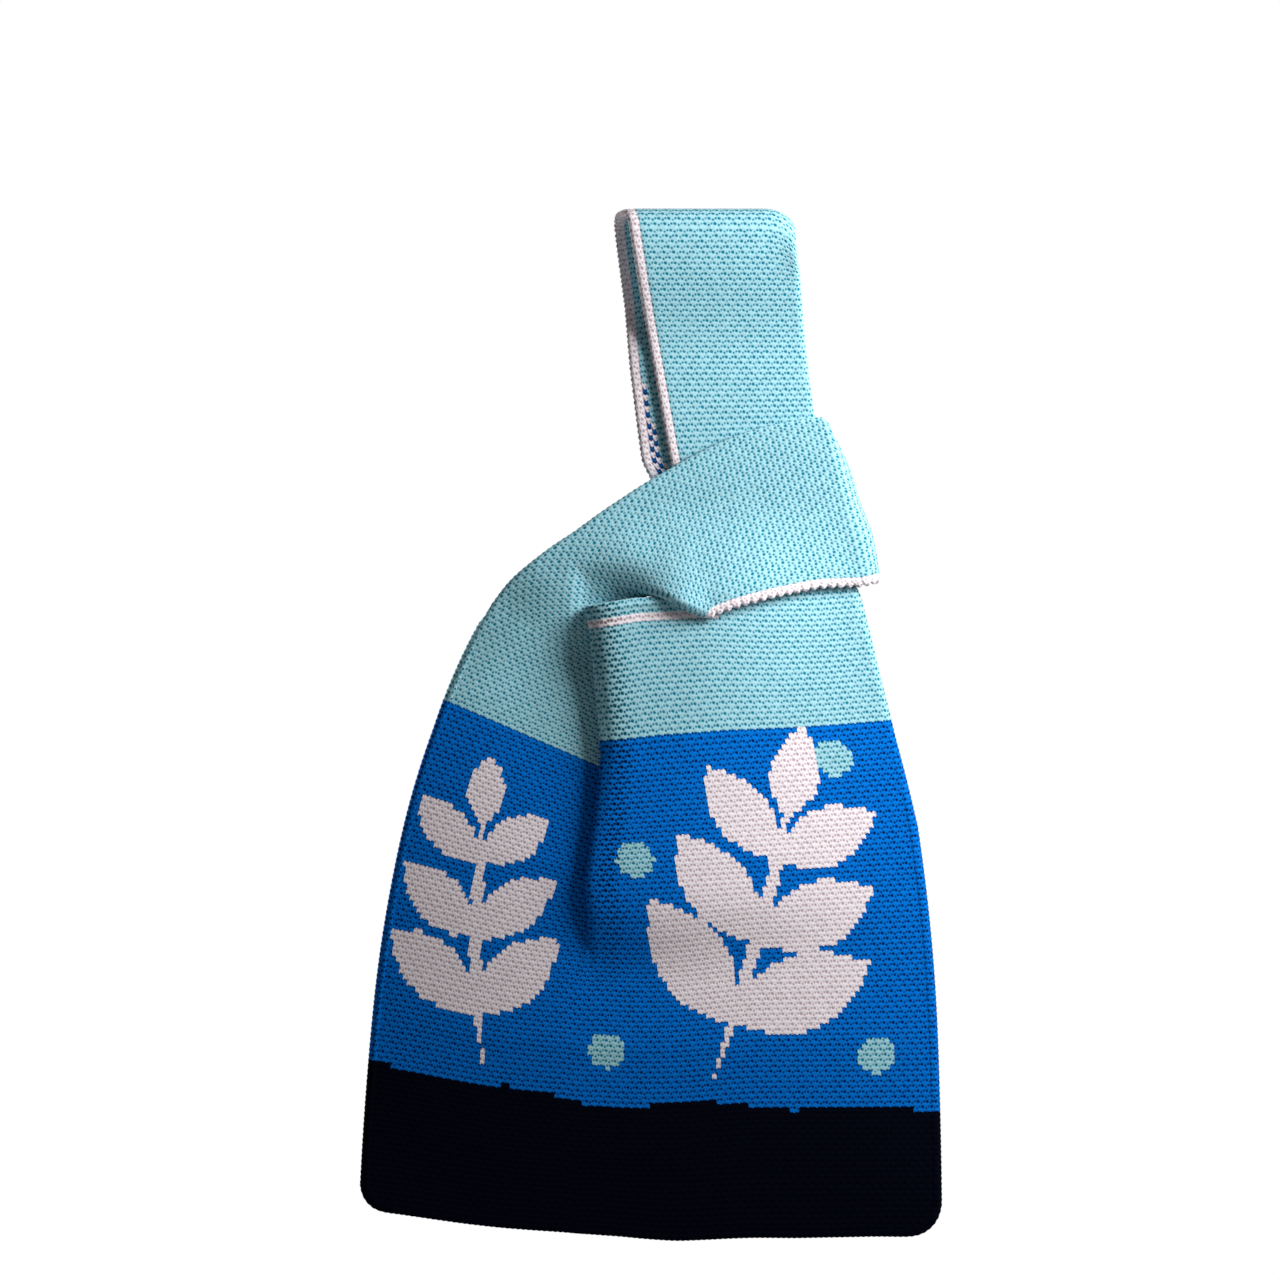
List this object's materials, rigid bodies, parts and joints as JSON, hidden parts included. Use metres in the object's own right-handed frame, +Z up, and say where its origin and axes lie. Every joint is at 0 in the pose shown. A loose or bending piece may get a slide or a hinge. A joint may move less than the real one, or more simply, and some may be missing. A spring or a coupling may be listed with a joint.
{
  "type": "knit knot bag",
  "caption": "Small two-colour jacquard knit bag with a long and a short looped handle, hanging from the long one, which is drawn through the short loop.",
  "frame": {"origin": "underside of the long handle's crest, where the bag is held", "axes": "+X to the right across the bag seen from the front, +Y from the front panel to the back panel, +Z up"},
  "size_m": [0.2005, 0.0296, 0.3604],
  "materials": {
    "jacquard": "matte double knit",
    "teal_knit": "matte double knit",
    "white_edge": "matte knit edge",
    "blue_seam": "matte linked seam",
    "navy_seam": "matte linked seam"
  },
  "bodies": {
    "carry_loop": {"carry_loop_front_leg": "teal_knit", "carry_loop_crest": "teal_knit", "carry_loop_back_leg": "teal_knit", "carry_loop_binding": "white_edge"},
    "bag_body": {"front_panel": "jacquard", "front_mouth_hem": "teal_knit", "long_handle_front_leg": "teal_knit", "long_handle_front_binding": "white_edge", "short_handle_front_leg": "teal_knit", "short_handle_front_binding": "white_edge", "back_panel": "jacquard", "back_mouth_hem": "teal_knit", "long_handle_back_leg": "teal_knit", "long_handle_back_binding": "white_edge", "short_handle_back_leg": "teal_knit", "short_handle_back_binding": "white_edge", "left_side_seam": "blue_seam", "right_side_seam": "blue_seam", "bottom_seam": "navy_seam"},
    "knot_wrap": {"knot_wrap_front": "teal_knit", "knot_wrap_back": "teal_knit", "knot_wrap_fold": "teal_knit", "knot_wrap_binding": "white_edge"}
  },
  "joints": [
    {"name": "bag_swing", "type": "hinge", "parent": "carry_loop", "child": "bag_body", "pos_m": [0, 0, -0.04856], "axis": [1, 0, 0], "range_deg": [-60, 60]},
    {"name": "knot_slide", "type": "slide", "parent": "bag_body", "child": "knot_wrap", "axis": [-0.0174, 0, 0.9998], "range_m": [0, 0.015]}
  ]
}
